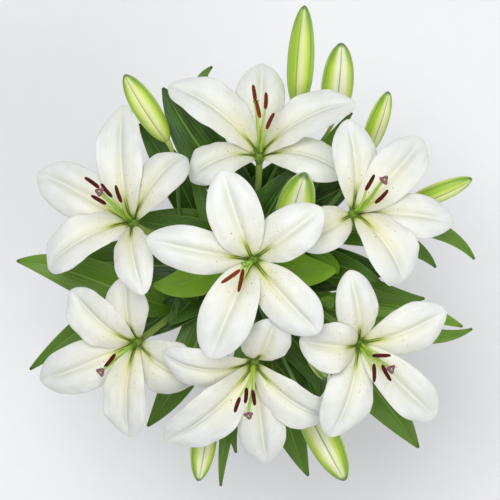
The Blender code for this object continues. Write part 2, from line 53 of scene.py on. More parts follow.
# Each lily: the point where its tepals meet; the bearing and angle that its axis leans from
# upright; its tepals in turn, outer and inner alternately, each as (bearing and reach of the tip
# seen from above, height of the tip along the axis, width, angle that the tip dips below level);
# its stamens as (bearing and reach of the anther seen from above, its height along the axis,
# bearing that the anther lies along); and its stigma as (bearing, reach, height).
LILIES = {
    1: {
        "base": (-0.125, 0.029, 0.180), "lean": (135, 25), "stigma": (134, 0.043, 0.084),
        "tepals": [
            (50, 0.090, 0.004, 0.048, 75), (95, 0.126, 0.018, 0.049, 25), (152, 0.115, 0.016, 0.054, 30),
            (209, 0.101, 0.010, 0.050, 50), (281, 0.077, 0.022, 0.042, 30),
        ],
        "stamens": [
            (133, 0.056, 0.078, 145), (144, 0.039, 0.070, 150), (126, 0.040, 0.072, 130),
            (111, 0.031, 0.068, 110),
        ],
    },
    2: {
        "base": (0.010, 0.101, 0.150), "lean": (90, 35), "stigma": (94, 0.055, 0.069),
        "tepals": [
            (346, 0.092, 0.002, 0.052, 60), (29, 0.117, 0.040, 0.050, 20), (88, 0.101, 0.030, 0.052, 20),
            (142, 0.123, 0.036, 0.052, 25), (201, 0.078, 0.000, 0.046, 75),
        ],
        "stamens": [
            (95, 0.064, 0.080, 98), (92, 0.046, 0.075, 102), (83, 0.056, 0.076, 88),
            (72, 0.036, 0.066, 65),
        ],
    },
    3: {
        "base": (0.109, 0.038, 0.200), "lean": (35, 22), "stigma": (50, 0.044, 0.080),
        "tepals": [
            (209, 0.069, 0.018, 0.046, 25), (305, 0.088, 0.004, 0.056, 65), (355, 0.106, 0.018, 0.046, 30),
            (47, 0.108, 0.022, 0.050, 25), (94, 0.099, 0.024, 0.047, 20),
        ],
        "stamens": [(66, 0.034, 0.072, 60), (32, 0.031, 0.068, 45)],
    },
    4: {
        "base": (0.003, -0.010, 0.245), "lean": (225, 8), "stigma": (205, 0.010, 0.048),
        "tepals": [
            (37, 0.088, 0.020, 0.052, 25), (109, 0.097, 0.024, 0.054, 20), (169, 0.112, 0.020, 0.048, 25),
            (246, 0.111, 0.022, 0.056, 25), (312, 0.101, 0.018, 0.054, 35),
        ],
        "stamens": [(217, 0.028, 0.062, 215), (240, 0.024, 0.060, 258)],
    },
    5: {
        "base": (-0.121, -0.099, 0.145), "lean": (215, 25), "stigma": (219, 0.045, 0.080),
        "tepals": [
            (98, 0.072, 0.024, 0.046, 15), (141, 0.090, 0.022, 0.052, 20), (202, 0.115, 0.016, 0.054, 30),
            (265, 0.103, 0.014, 0.048, 35), (328, 0.076, 0.006, 0.063, 40),
        ],
        "stamens": [(214, 0.031, 0.068, 230)],
    },
    6: {
        "base": (0.004, -0.118, 0.190), "lean": (272, 35), "stigma": (264, 0.052, 0.086),
        "tepals": [
            (174, 0.096, 0.000, 0.046, 60), (222, 0.127, 0.026, 0.056, 25), (277, 0.111, 0.028, 0.050, 25),
            (325, 0.101, 0.014, 0.050, 45), (64, 0.053, 0.030, 0.050, 0),
        ],
        "stamens": [
            (247, 0.045, 0.072, 252), (256, 0.033, 0.066, 265), (270, 0.034, 0.070, 278),
        ],
    },
    7: {
        "base": (0.115, -0.099, 0.185), "lean": (315, 22), "stigma": (322, 0.038, 0.080),
        "tepals": [
            (99, 0.079, 0.026, 0.045, 15), (175, 0.064, 0.020, 0.052, 25), (253, 0.103, 0.018, 0.056, 30),
            (316, 0.115, 0.018, 0.046, 30), (21, 0.098, 0.022, 0.052, 20),
        ],
        "stamens": [
            (335, 0.023, 0.062, 0), (295, 0.031, 0.064, 272), (312, 0.038, 0.068, 300),
        ],
    },
}

# Each bud: the stem that carries it, how far up that stem's curved part its stalk leaves, its base
# point, its tip point and its greatest radius.
BUDS = {
    "bud_upper_left": (1, 0.45, (-0.088, 0.116, 0.145), (-0.133, 0.186, 0.175), 0.0140),
    "bud_top": (2, 0.30, (0.052, 0.152, 0.118), (0.058, 0.260, 0.168), 0.0148),
    "bud_top_right": (2, 0.20, (0.092, 0.145, 0.078), (0.099, 0.224, 0.122), 0.0180),
    "bud_upper_right": (3, 0.40, (0.125, 0.104, 0.128), (0.147, 0.168, 0.174), 0.0116),
    "bud_right": (3, 0.55, (0.167, 0.048, 0.140), (0.236, 0.076, 0.168), 0.0112),
    "bud_centre": (4, 0.55, (0.040, 0.015, 0.180), (0.056, 0.078, 0.255), 0.0200),
    "bud_bottom_left": (6, 0.30, (-0.046, -0.176, 0.090), (-0.056, -0.250, 0.122), 0.0142),
    "bud_bottom": (6, 0.22, (0.058, -0.162, 0.085), (0.103, -0.249, 0.125), 0.0190),
    "bud_lower_right": (7, 0.50, (0.058, -0.080, 0.135), (0.080, -0.138, 0.168), 0.0120),
}

# Each leaf: the stem that carries it, how far up that stem's curved part it leaves, the bearings
# it leaves and ends on, its tip point, its width, how far it arches up, and how light its green
# is, 0 to 1. That lightness is partly the leaf's own green and partly painted shade: leaves deep
# in the bouquet are made darker.
LEAVES = {
    "leaf_left": (5, 0.62, 165, 178, (-0.253, -0.012, 0.115), 0.046, 0.014, 0.45),
    "leaf_lower_left_edge": (5, 0.35, 178, 220, (-0.243, -0.132, 0.068), 0.032, 0.015, 0.3),
    "leaf_upper_left": (2, 0.55, 150, 120, (-0.094, 0.175, 0.130), 0.050, 0.018, 0.03),
    "leaf_behind_bud": (1, 0.35, 100, 125, (-0.120, 0.137, 0.115), 0.038, 0.015, 0.1),
    "leaf_top_left": (2, 0.35, 120, 35, (-0.041, 0.200, 0.100), 0.026, 0.010, 0.3),
    "leaf_right_tip": (3, 0.66, 15, 305, (0.243, -0.010, 0.118), 0.024, 0.012, 0.45),
    "leaf_right": (3, 0.46, 5, 305, (0.201, -0.019, 0.120), 0.028, 0.014, 0.3),
    "leaf_right_low": (3, 0.28, 320, 0, (0.187, -0.052, 0.150), 0.028, 0.018, 0.3),
    "leaf_right_upper_edge": (7, 0.55, 5, 335, (0.230, -0.083, 0.120), 0.028, 0.015, 0.6),
    "leaf_right_lower_edge": (7, 0.40, 340, 25, (0.243, -0.086, 0.095), 0.026, 0.012, 0.55),
    "leaf_lower_right": (7, 0.30, 310, 305, (0.185, -0.217, 0.085), 0.058, 0.015, 0.35),
    "leaf_bottom_right": (6, 0.08, 285, 295, (0.065, -0.252, 0.040), 0.052, 0.012, 0.3),
    "leaf_bottom": (6, 0.45, 262, 268, (-0.032, -0.258, 0.095), 0.019, 0.012, 0.3),
    "leaf_bottom_small": (6, 0.60, 262, 285, (-0.015, -0.220, 0.116), 0.018, 0.010, 0.3),
    "leaf_bottom_left": (5, 0.25, 255, 230, (-0.114, -0.196, 0.050), 0.044, 0.012, 0.3),
    "leaf_mid_left_bright": (4, 0.30, 205, 165, (-0.104, -0.036, 0.175), 0.042, 0.020, 0.85),
    "leaf_mid_right_bright": (4, 0.32, 325, 10, (0.092, -0.021, 0.190), 0.042, 0.020, 1.0),
    "leaf_mid_left_dark": (4, 0.25, 165, 160, (-0.098, 0.035, 0.155), 0.034, 0.020, 0.1),
    "leaf_right_inner": (4, 0.22, 350, 330, (0.139, -0.034, 0.162), 0.034, 0.020, 0.15),
    "leaf_upper_right_strip": (3, 0.30, 75, 50, (0.110, 0.148, 0.135), 0.020, 0.012, 0.45),
    "leaf_centre_back": (4, 0.20, 70, 60, (0.048, 0.088, 0.115), 0.046, 0.020, 0.0),
    "leaf_centre_left": (4, 0.12, 215, 225, (-0.090, -0.082, 0.112), 0.046, 0.015, 0.1),
}

# Leaves that fill the gaps low in the bouquet, given as the leaves above. Most are given the
# darkest green, which is painted shade for their place deep in the bouquet.
FILLERS = {
    "filler_leaf_left": (4, 0.35, 170, 95, (-0.060, 0.098, 0.150), 0.020, 0.012, 0.15),
    "filler_leaf_under_top": (2, 0.45, 190, 80, (-0.019, 0.092, 0.140), 0.024, 0.010, 0.1),
    "filler_leaf_curl": (3, 0.45, 290, 250, (0.092, -0.026, 0.160), 0.014, 0.010, 0.9),
    "filler_leaf_right_low": (7, 0.62, 80, 60, (0.088, -0.050, 0.160), 0.016, 0.008, 0.8),
    "filler_leaf_lower_left": (5, 0.55, 60, 100, (-0.075, -0.050, 0.125), 0.034, 0.012, 0.1),
    "filler_leaf_middle": (6, 0.35, 90, 90, (0.004, -0.050, 0.150), 0.026, 0.014, 0.0),
    "filler_leaf_left_gap": (4, 0.30, 200, 178, (-0.140, -0.016, 0.105), 0.050, 0.012, 0.0),
    "filler_leaf_between": (4, 0.28, 150, 168, (-0.135, 0.034, 0.110), 0.046, 0.014, 0.3),
    "filler_leaf_left_low": (4, 0.20, 210, 200, (-0.095, -0.058, 0.100), 0.034, 0.012, 0.0),
    "filler_leaf_behind_stalk": (2, 0.22, 45, 80, (0.034, 0.100, 0.090), 0.056, 0.012, 0.0),
    "filler_leaf_by_bud": (3, 0.35, 170, 120, (0.060, 0.086, 0.125), 0.036, 0.012, 0.0),
    "filler_leaf_left_back": (6, 0.25, 160, 188, (-0.140, -0.092, 0.090), 0.048, 0.012, 0.05),
    "filler_leaf_far_left": (5, 0.25, 160, 182, (-0.206, -0.016, 0.075), 0.058, 0.012, 0.3),
    "filler_leaf_low_middle": (6, 0.15, 310, 290, (0.074, -0.172, 0.065), 0.056, 0.010, 0.0),
    "filler_leaf_inner_right": (4, 0.22, 50, 32, (0.118, 0.078, 0.100), 0.048, 0.012, 0.0),
    "filler_leaf_right_back": (4, 0.20, 330, 346, (0.150, -0.026, 0.105), 0.056, 0.012, 0.0),
    "filler_leaf_top_back": (2, 0.14, 100, 100, (-0.005, 0.100, 0.080), 0.046, 0.010, 0.0),
    "filler_leaf_low_right": (7, 0.12, 230, 250, (0.075, -0.162, 0.080), 0.046, 0.012, 0.1),
}

# How the width of a leaf and of a bud rises and falls along it.
LEAF_SHAPE = (0.60, 0.95)
BUD_SHAPE = (0.55, 0.60)

# Sizes that the seen surfaces share with the frame's solids, but for a slightly fuller top of the
# stem.
VASE_FOOT_RADIUS, VASE_NECK_RADIUS, VASE_LIP_RADIUS = 0.046, 0.050, 0.056
VASE_BELLY_HEIGHT, VASE_NECK_DROP = 0.105, 0.035
VASE_WALL, VASE_FLOOR = 0.005, 0.008
STEM_RADIUS = 0.0042
STEM_UPPER_RADIUS = 0.0036
STALK_RADIUS = 0.0024
RECEPTACLE_RADIUS = 0.0040
STEM_FOOT = (0.0220, 0.0096)
STEM_MOUTH = 0.0310
STEM_CURVE, STEM_TOP_CURVE, STALK_CURVE = 0.085, 0.068, 0.030
STEM_GAP, STALK_GAP = 0.0008, 0.0003
LEAF_HANDLES, LEAF_CLIMB, LEAF_ARCH = (0.35, 0.32), 0.3, (1.6, 1.2)
HUB_RADIUS, HUB_HALF_SIDE = 0.0052, 0.0030
INNER_LIFT, INNER_DRAW_IN = 0.0030, 0.0014
INNER_RISE, OUTER_RISE = 68, 60
THROAT_HANDLE, TEPAL_TIP_HANDLE = 0.034, 0.42
TEPAL_TIP_HALF = 0.0010


# ---------------------------------------------------------------- vectors and curves


def unit(vectors):
    """Each vector over its own length."""
    vectors = np.asarray(vectors, float)
    return vectors / np.linalg.norm(vectors, axis=-1, keepdims=True)


def heading(bearing):
    """The level unit vector along a bearing."""
    turn = np.radians(bearing)
    return np.array([np.cos(turn), np.sin(turn), 0.0])


def leaning(bearing, angle):
    """The unit vector that leans an angle from upright along a bearing."""
    lean = np.radians(angle)
    return heading(bearing) * np.sin(lean) + np.array([0, 0, np.cos(lean)])


def from_lip(point):
    """A point whose height is measured from the vase's lip."""
    return np.array(point, float) + np.array([0, 0, LIP])


def from_above(axis, bearing, reach, height):
    """The offset at a bearing and reach seen from above whose height along the axis is given."""
    offset = heading(bearing) * reach
    offset[2] = (height - offset @ axis) / axis[2]
    return offset


def bezier(points, t):
    """Points and unit directions of a cubic Bezier curve at every t: the sum of its four points,
    each times its Bernstein weight."""
    a, b, c, d = (np.asarray(p, float) for p in points)
    t = np.atleast_1d(np.asarray(t, float))[:, None]
    s = 1 - t
    at = a * s**3 + b * (3 * s * s * t) + c * (3 * s * t * t) + d * t**3
    along = (b - a) * (3 * s * s) + (c - b) * (6 * s * t) + (d - c) * (3 * t * t)
    return at, unit(along)


def blade_share(t, shape):
    """A blade's width at t over its widest: t^rise (1-t)^fall over its greatest value."""
    rise, fall = shape
    widest = rise / (rise + fall)
    return t**rise * (1 - t) ** fall / (widest**rise * (1 - widest) ** fall)


def ease(x, low, high):
    """0 below low, 1 above high, and the smooth 3x^2 - 2x^3 between."""
    x = np.clip((x - low) / (high - low), 0, 1)
    return x * x * (3 - 2 * x)


def bell(x, width):
    """The bell curve e^(-(x/width)^2)."""
    return np.exp(-((x / width) ** 2))


# ---------------------------------------------------------------- meshes

MARKS = ("along", "across", "reach", "spread", "under", "tint")


class Shape:
    """Vertices, faces and marks gathered from several closed surfaces, to become one piece.

    A mark is a number at each vertex that a finish reads: along and across run over the surface
    from 0 to 1 and from -1 to 1, reach and spread are the same in metres, under is 1 on the back,
    and tint is one number for each surface.
    """

    def __init__(self):
        self.points, self.corners, self.sizes, self.slots = [], [], [], []
        self.marks = {mark: [] for mark in MARKS}
        self.count = 0

    def add(self, points, faces, slot=0, **marks):
        """Adds one surface: its points, arrays of three- or four-cornered faces, and its marks."""
        points = np.asarray(points, float).reshape(-1, 3)
        for face in faces:
            self.corners.append(face.ravel() + self.count)
            self.sizes.append(np.full(len(face), face.shape[1]))
            self.slots.append(np.full(len(face), slot))
        for mark in MARKS:
            value = np.asarray(marks.get(mark, 0.0), float)
            self.marks[mark].append(np.broadcast_to(value.ravel(), len(points)))
        self.points.append(points)
        self.count += len(points)

    def piece(self, name, finishes, slot, *stands_for):
        """Makes the piece, which rides on the frame's one body and stands for frame nodes."""
        mesh = bpy.data.meshes.new(name)
        corners = np.concatenate(self.corners).astype(np.int32)
        sizes = np.concatenate(self.sizes)
        mesh.vertices.add(self.count)
        mesh.vertices.foreach_set("co", np.concatenate(self.points).astype(np.float32).ravel())
        mesh.loops.add(len(corners))
        mesh.loops.foreach_set("vertex_index", corners)
        mesh.polygons.add(len(sizes))
        starts = np.concatenate([[0], np.cumsum(sizes)[:-1]]).astype(np.int32)
        mesh.polygons.foreach_set("loop_start", starts)
        mesh.update(calc_edges=True)
        mesh.polygons.foreach_set("material_index", np.concatenate(self.slots).astype(np.int32))
        for mark in MARKS:
            held = mesh.attributes.new(mark, "FLOAT", "POINT")
            held.data.foreach_set("value", np.concatenate(self.marks[mark]).astype(np.float32))
        for finish in finishes:
            mesh.materials.append(finish)
        mesh.shade_smooth()
        mesh.validate()
        made = stand(name, mesh)
        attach(made, "root")
        if stands_for:
            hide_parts(*stands_for)


def stand(name, data):
    """A new object of that name in the scene."""
    made = bpy.data.objects.new(name, data)
    bpy.context.scene.collection.objects.link(made)
    return made


def grid_faces(index, turned=False):
    """Four-cornered faces over a grid of vertex numbers, wound so that rows x columns points out."""
    a, b, c, d = index[:-1, :-1], index[1:, :-1], index[1:, 1:], index[:-1, 1:]
    ring = (a, d, c, b) if turned else (a, b, c, d)
    return np.stack([corner.ravel() for corner in ring], 1)


def add_sheet(shape, middle, thickness, **marks):
    """Adds a closed sheet: its middle surface moved half its thickness each way along its normal,
    the cross product of its row and column directions, with a strip round the rim."""
    rows, columns, _ = middle.shape
    normal = unit(np.cross(np.gradient(middle, axis=0), np.gradient(middle, axis=1)))
    half = normal * (np.broadcast_to(thickness, (rows, columns))[..., None] / 2)
    index = np.arange(rows * columns).reshape(rows, columns)
    rim = np.concatenate([index[:-1, 0], index[-1, :-1], index[:0:-1, -1], index[0, :0:-1]])
    after, low = np.roll(rim, -1), rows * columns
    strip = np.stack([after, rim, rim + low, after + low], 1)
    faces = [grid_faces(index), grid_faces(index + low, turned=True), strip]
    for mark, value in marks.items():
        marks[mark] = np.tile(np.broadcast_to(value, (rows, columns)).ravel(), 2)
    marks["under"] = np.repeat([0.0, 1.0], low)
    shape.add(np.stack([middle + half, middle - half]), faces, **marks)


def add_closed(shape, rings, first, last, slot=0, **marks):
    """Adds a closed body of rings, turning anticlockwise about its direction of travel, with a fan
    to one point at each end. Marks are given per ring and turn."""
    count, sides, _ = rings.shape
    index = np.arange(count * sides).reshape(count, sides)
    wrapped = np.concatenate([index, index[:, :1]], 1)
    foot, head = count * sides, count * sides + 1
    fans = [
        np.stack([np.full(sides, foot), wrapped[0, 1:], wrapped[0, :-1]], 1),
        np.stack([np.full(sides, head), wrapped[-1, :-1], wrapped[-1, 1:]], 1),
    ]
    held = {}
    for mark, value in marks.items():
        value = np.broadcast_to(value, (count, sides))
        held[mark] = np.concatenate([value.ravel(), [value[0].mean(), value[-1].mean()]])
    points = np.concatenate([rings.reshape(-1, 3), [first, last]])
    shape.add(points, [grid_faces(wrapped, turned=True), *fans], slot, **held)


def frames(line, reference):
    """Two unit vectors across a path at each of its points: the reference made square to the
    path's direction, and the direction crossed with that."""
    along = unit(np.gradient(line, axis=0))
    side = unit(reference - along * (along @ reference)[:, None])
    return along, side, np.cross(along, side)


def lengths(line):
    """How far along a path each of its points is."""
    return np.concatenate([[0], np.cumsum(np.linalg.norm(np.diff(line, axis=0), axis=1))])


def spokes(side, over, turn, radius):
    """Offsets round a path: side times cos(turn) plus over times sin(turn), times the radius."""
    around = side[..., None, :] * np.cos(turn)[:, None] + over[..., None, :] * np.sin(turn)[:, None]
    return around * radius[..., None]


def square_to(line):
    """A direction square to the plane that a path bends in, or to its chord if it is straight."""
    chord = line[-1] - line[0]
    bow = line[len(line) // 2] - (line[0] + line[-1]) / 2
    normal = np.cross(chord, bow)
    if np.linalg.norm(normal) < 1e-6:
        normal = np.cross(chord, [1.0, 0.2, 0.1])
    return unit(normal)


def add_tube(shape, line, radii, sides=12, slot=0, **marks):
    """Adds a round tube along a path: at each point a circle of its radius in the plane across the
    path. The ends close over a half dome."""
    line, radii = np.asarray(line, float), np.broadcast_to(radii, len(line)).astype(float)
    along, side, over = frames(line, square_to(line))
    dome = np.radians([90, 60, 30])
    start = line[0] - along[0] * (np.sin(dome) * radii[0] * 0.8)[:, None]
    end = line[-1] + along[-1] * (np.sin(dome[::-1]) * radii[-1] * 0.8)[:, None]
    line = np.concatenate([start[1:], line, end[:-1]])
    radii = np.concatenate([np.cos(dome[1:]) * radii[0], radii, np.cos(dome[:0:-1]) * radii[-1]])
    held = np.clip(np.arange(-2, len(side) + 2), 0, len(side) - 1)
    side, over = side[held], over[held]
    turn = np.linspace(0, 2 * np.pi, sides, endpoint=False)
    share = np.linspace(0, 1, len(line))[:, None]
    marks.update(along=share, reach=share * lengths(line)[-1], across=np.cos(turn)[None])
    rings = line[:, None] + spokes(side, over, turn, radii[:, None])
    add_closed(shape, rings, start[0], end[-1], slot, **marks)


# ---------------------------------------------------------------- finishes


def colour(text):
    """A colour written as six hexadecimal digits, as the shader's linear red, green, blue, alpha."""
    part = np.array([int(text[i : i + 2], 16) for i in (0, 2, 4)]) / 255
    part = np.where(part > 0.04045, ((part + 0.055) / 1.055) ** 2.4, part / 12.92)
    return (*part.tolist(), 1.0)


class Wire:
    """A shader socket as a number in a formula: each operator adds one Math node."""

    def __init__(self, finish, socket):
        self.finish, self.socket = finish, socket

    def maths(self, operation, *others):
        inputs = dict(enumerate((self, *others)))
        return self.finish.node("ShaderNodeMath", {"operation": operation}, inputs)

    def __add__(self, other):
        return self.maths("ADD", other)

    def __mul__(self, other):
        return self.maths("MULTIPLY", other)

    def __sub__(self, other):
        return self.maths("SUBTRACT", other)

    def __rsub__(self, other):
        return self * -1 + other

    __radd__, __rmul__ = __add__, __mul__

    def size(self):
        return self.maths("ABSOLUTE")

    def sine(self):
        return self.maths("SINE")

    def bell(self, width):
        """e^(-(value/width)^2)."""
        return (self * (1 / width)).maths("POWER", 2.0).maths("MULTIPLY", -1.0).maths("EXPONENT")

    def ease(self, low, high):
        """0 at low, 1 at high, and a smooth step between."""
        settings = {"interpolation_type": "SMOOTHSTEP"}
        return self.finish.node("ShaderNodeMapRange", settings, {0: self, 1: low, 2: high})


class Finish:
    """One material in the making. Its uniform values are set straight on the shader's sockets."""

    def __init__(self, name, **uniform):
        self.material = bpy.data.materials.new(name)
        self.material.use_nodes = True
        self.tree = self.material.node_tree
        self.shader = self.tree.nodes["Principled BSDF"]
        self.base = None
        for socket, value in uniform.items():
            self.shader.inputs[socket.replace("_", " ")].default_value = value

    def node(self, kind, settings=None, inputs=None, output=0):
        """Adds a node with its settings, then the values or wires of its sockets."""
        made = self.tree.nodes.new(kind)
        for key, value in (settings or {}).items():
            setattr(made, key, value)
        for key, value in (inputs or {}).items():
            if isinstance(value, Wire):
                self.tree.links.new(value.socket, made.inputs[key])
            else:
                made.inputs[key].default_value = value
        return Wire(self, made.outputs[output])

    def mark(self, name):
        """The piece's own number of that name."""
        return self.node("ShaderNodeAttribute", {"attribute_name": name}, output=2)

    def marks(self):
        """The six marks in order, with reach and spread in millimetres."""
        along, across, reach, spread, under, tint = (self.mark(name) for name in MARKS)
        return along, across, reach * 1000, spread * 1000, under, tint

    def vector(self, x, y, z):
        return self.node("ShaderNodeCombineXYZ", None, {0: x, 1: y, 2: z})

    def place(self):
        return self.node("ShaderNodeTexCoord", None, None, output=3)

    def grain(self, x, y, z, detail):
        """Noise over three numbers of the maker's own."""
        return self.noise(self.vector(x, y, z), 1.0, detail)

    def noise(self, vector, scale, detail=3.0, roughness=0.5):
        inputs = {"Vector": vector, "Scale": scale, "Detail": detail, "Roughness": roughness}
        return self.node("ShaderNodeTexNoise", None, inputs)

    def spots(self, vector, scale):
        """The distance to the nearest of many scattered points."""
        return self.node("ShaderNodeTexVoronoi", None, {"Vector": vector, "Scale": scale})

    def mix(self, share, a, b):
        """Colour a where share is 0, and b where it is 1."""
        settings = {"data_type": "RGBA", "clamp_factor": True}
        return self.node("ShaderNodeMix", settings, {0: share, 6: a, 7: b}, output=2)

    def ground(self, share, a, b):
        """Starts the base colour: a where share is 0, and b where it is 1."""
        self.base = self.mix(share, colour(a), colour(b))

    def stain(self, share, text):
        """Lays a colour over the base colour, as strongly as share says."""
        self.base = self.mix(share, self.base, colour(text))

    def bump(self, height, distance, strength=1.0):
        """Raised by height times distance."""
        inputs = {"Height": height, "Distance": distance, "Strength": strength}
        return self.node("ShaderNodeBump", None, inputs)

    def done(self, **fed):
        """Feeds the base colour and the shader's other sockets, and returns the material."""
        for socket, wire in {"Base_Color": self.base, **fed}.items():
            self.tree.links.new(wire.socket, self.shader.inputs[socket.replace("_", " ")])
        return self.material


def tepal_finish():
    """White, creamier along the midrib, yellow-green down in the throat, with a furrow of two deep
    green lines, a few brown specks beside it, and fine veins that run along the tepal. Painted grey
    shade lies in the grooves either side of the midrib, with a painted highlight on the rib between."""
    depth = {"Subsurface_Weight": 0.12, "Subsurface_Scale": 0.003}
    f = Finish("tepal", Coat_Weight=0.05, Coat_Roughness=0.35, **depth)
    f.shader.inputs["Subsurface Radius"].default_value = (1.0, 0.9, 0.6)
    along, across, reach, spread, under, tint = f.marks()
    aside = spread.size()
    fine = f.grain(across * 22, along * 2.5, tint * 40, 2.0)
    patch = f.grain(spread * 0.12, reach * 0.05, tint * 90, 3.0)
    f.ground(patch.ease(0.3, 0.7), "eff0ec", "e5e7df")
    f.stain(fine.ease(0.45, 0.75) * 0.30, "d9dccf")
    length = along.ease(0.12, 0.35) * (1 - along.ease(0.72, 0.95))
    # Painted shade: grey in the grooves either side of the midrib, then a painted highlight on the narrow
    # rib between them.
    f.stain((aside - 2.4).bell(3.6) * length * 0.42, "c8cdba")
    f.stain((aside - 1.9).bell(0.7) * length * 0.25, "b4bba0")
    f.stain(aside.bell(0.9) * length * 0.60, "f6f7f1")
    cream = (1 - reach.ease(12, 95)) * (0.40 + 0.60 * spread.bell(10.0)) * (0.60 + 0.60 * tint)
    f.stain(cream * 0.85, "ebe6bf")
    glow = (1 - reach.ease(18, 38)) * spread.bell(2.8)
    f.stain(glow * 0.90, "c2cf33")
    f.stain((1 - reach.ease(3, 14)) * 0.60, "b4c63f")
    f.stain((1 - reach.ease(2, 8)) * 0.60, "5f7d22")
    ragged = f.grain(spread * 0.5, reach * 0.16, tint * 70, 3.0)
    furrow = (aside - 1.25).bell(0.85) * (1 - reach.ease(15, 29)) * reach.ease(1, 5)
    f.stain(furrow * ragged.ease(0.15, 0.42), "26500a")
    specks = f.spots(f.vector(spread * 0.42, reach * 0.30, tint * 50), 1.0)
    held = reach.ease(16, 26) * (1 - reach.ease(40, 62))
    held = held * aside.ease(2.0, 4.0) * (1 - across.size().ease(0.55, 0.85))
    some = f.grain(spread * 0.2, reach * 0.2, tint * 30, 1.0).ease(0.50, 0.60)
    f.stain((1 - specks.ease(0.14, 0.26)) * held * some * 0.75, "8f5f40")
    back = across.bell(0.10) * (1 - along.ease(0.5, 0.9))
    f.stain(under * back * 0.6, "bfca86")
    tips = along.ease(0.955, 1.0) * across.bell(0.6)
    f.stain(tips * 0.25, "d9dfae")
    height = fine * 0.6 + patch * 0.5 + (specks.ease(0.05, 0.3) * -1) * held
    return f.done(Roughness=0.46 + patch * 0.16, Normal=f.bump(height, 0.00022, 0.55))


def leaf_finish():
    """Green with a paler midrib and faint long parallel veins, mottled, duller and paler beneath."""
    f = Finish("leaf", Coat_Weight=0.06, Coat_Roughness=0.3, Specular_IOR_Level=0.38)
    along, across, reach, spread, under, tint = f.marks()
    drift = f.grain(across * 3, along * 3, tint * 9, 2.0)
    veins = (across * 34 + drift * 2.5).sine()
    fine = f.grain(across * 26, along * 1.6, tint * 31, 2.0)
    mottle = f.grain(spread * 0.10, reach * 0.035, tint * 60, 4.0)
    # The tint sets the green from dark to light. Its dark end is partly painted shade for leaves deep in
    # the bouquet.
    f.ground(tint, "1f3f09", "8ab82a")
    f.stain(mottle.ease(0.35, 0.70) * (0.45 - tint * 0.28), "51821a")
    f.stain(fine.ease(0.50, 0.75) * 0.30, "6f9d30")
    f.stain(veins.ease(0.5, 1.0) * 0.12, "7fa657")
    f.stain(across.bell(0.05) * (1 - along.ease(0.75, 1.0)) * 0.45, "93b85e")
    f.stain(across.size().ease(0.93, 1.0) * 0.45, "9cbf62")
    f.stain(under * 0.45, "819f50")
    f.stain(along.ease(0.96, 1.0) * 0.5, "2a3a14")
    height = veins * 0.35 + fine * 0.4 + mottle * 0.8 - across.bell(0.06) * 1.4
    return f.done(Roughness=0.34 + mottle * 0.18, Normal=f.bump(height, 0.00035, 0.6))


def bud_finish():
    """Three sepals: green keels, yellow-green borders and cream panels that meet at thin olive
    seams. On a bud with a high tint, the sepal on one side of each seam is green right up to it.
    Keels, seams and tip darken to deep green."""
    f = Finish("bud", Subsurface_Weight=0.08, Subsurface_Scale=0.003, Coat_Weight=0.12, Coat_Roughness=0.3)
    along, keel, sway, tint = f.mark("along"), f.mark("across"), f.mark("spread"), f.mark("tint")
    grain = f.grain(keel * 3, along * 2.2, sway * 3, 3.0)
    streak = f.grain(keel * 14, along * 1.3, sway * 14, 2.0)
    lapped = sway.ease(-0.02, 0.06) * tint
    side = keel + (grain - 0.5) * 0.30 + lapped * 1.15
    panel = f.mix(f.mark("reach"), colour("d9e37c"), colour("f3f3dc"))
    f.base = f.mix(side.ease(-0.60, 0.60), panel, colour("c8dc4c"))
    f.stain(side.ease(0.45, 1.05) * 0.85, "93bf24")
    f.stain(streak.ease(0.45, 0.75) * 0.35, "dfe79a")
    f.stain((1 - along.ease(0.0, 0.35)) * 0.55, "a5c838")
    dark = keel.ease(0.94, 1.0) * along.ease(0.10, 0.75)
    f.stain(dark * 0.45, "4d7a26")
    seam = 1 - (keel + 1).ease(0.002, 0.022)
    f.stain(seam * 0.80, "77902a")
    f.stain(along.ease(0.70, 0.97) * (0.25 + 0.5 * keel.ease(-0.4, 0.8)), "6a9632")
    f.stain(along.ease(0.955, 0.99) * 0.75, "3b5a2c")
    height = grain * 0.4 + streak * 0.25 + keel.ease(0.85, 1.0) * 0.8 - seam
    return f.done(Roughness=0.36 + grain * 0.14, Normal=f.bump(height, 0.0006, 0.5))


def stem_finish():
    """Mid green with paler lengthwise streaks, and browner towards the cut foot. Towards the lily it
    turns paler: partly the stalk's own colour, and partly painted light over the shade it sits in.
    """
    f = Finish("stem", Coat_Weight=0.06, Coat_Roughness=0.4)
    along, round_it, tint = f.mark("along"), f.mark("across"), f.mark("tint")
    streak = f.grain(round_it * 4, along * 6, tint * 30, 4.0)
    f.ground(streak.ease(0.3, 0.7), "3f6a24", "7ea04a")
    f.stain((1 - along.ease(0.0, 0.2)) * 0.5, "8a8a4a")
    # Paler towards the lily: partly the stalk's own green, and partly painted light over its shade.
    f.stain(along.ease(0.70, 0.93) * 0.85, "b3c862")
    return f.done(Roughness=0.42 + streak * 0.15, Normal=f.bump(streak, 0.0004, 0.5))


def cup_finish():
    """Yellow-green, streaked, and deeper towards the rim where the tepals meet."""
    f = Finish("cup", Coat_Weight=0.06, Coat_Roughness=0.4)
    along = f.mark("along")
    streak = f.grain(f.mark("across") * 5, along * 3, 0.3, 3.0)
    f.ground(along.ease(0.2, 0.8), "8ba84a", "6c8c2f")
    f.stain(streak.ease(0.35, 0.7) * 0.5, "96b24c")
    return f.done(Roughness=0.45 + streak * 0.15)


def filament_finish():
    """Yellow-green, deeper at the foot, with faint streaks."""
    f = Finish("filament", Subsurface_Weight=0.1, Subsurface_Scale=0.002)
    along = f.mark("along")
    streak = f.grain(f.mark("across") * 3, along * 14, f.mark("tint") * 20, 2.0)
    f.ground(along.ease(0.0, 0.8), "a9cc35", "d9e88a")
    f.stain(streak.ease(0.4, 0.8) * 0.3, "cbe066")
    return f.done(Roughness=0.42 + streak * 0.15)


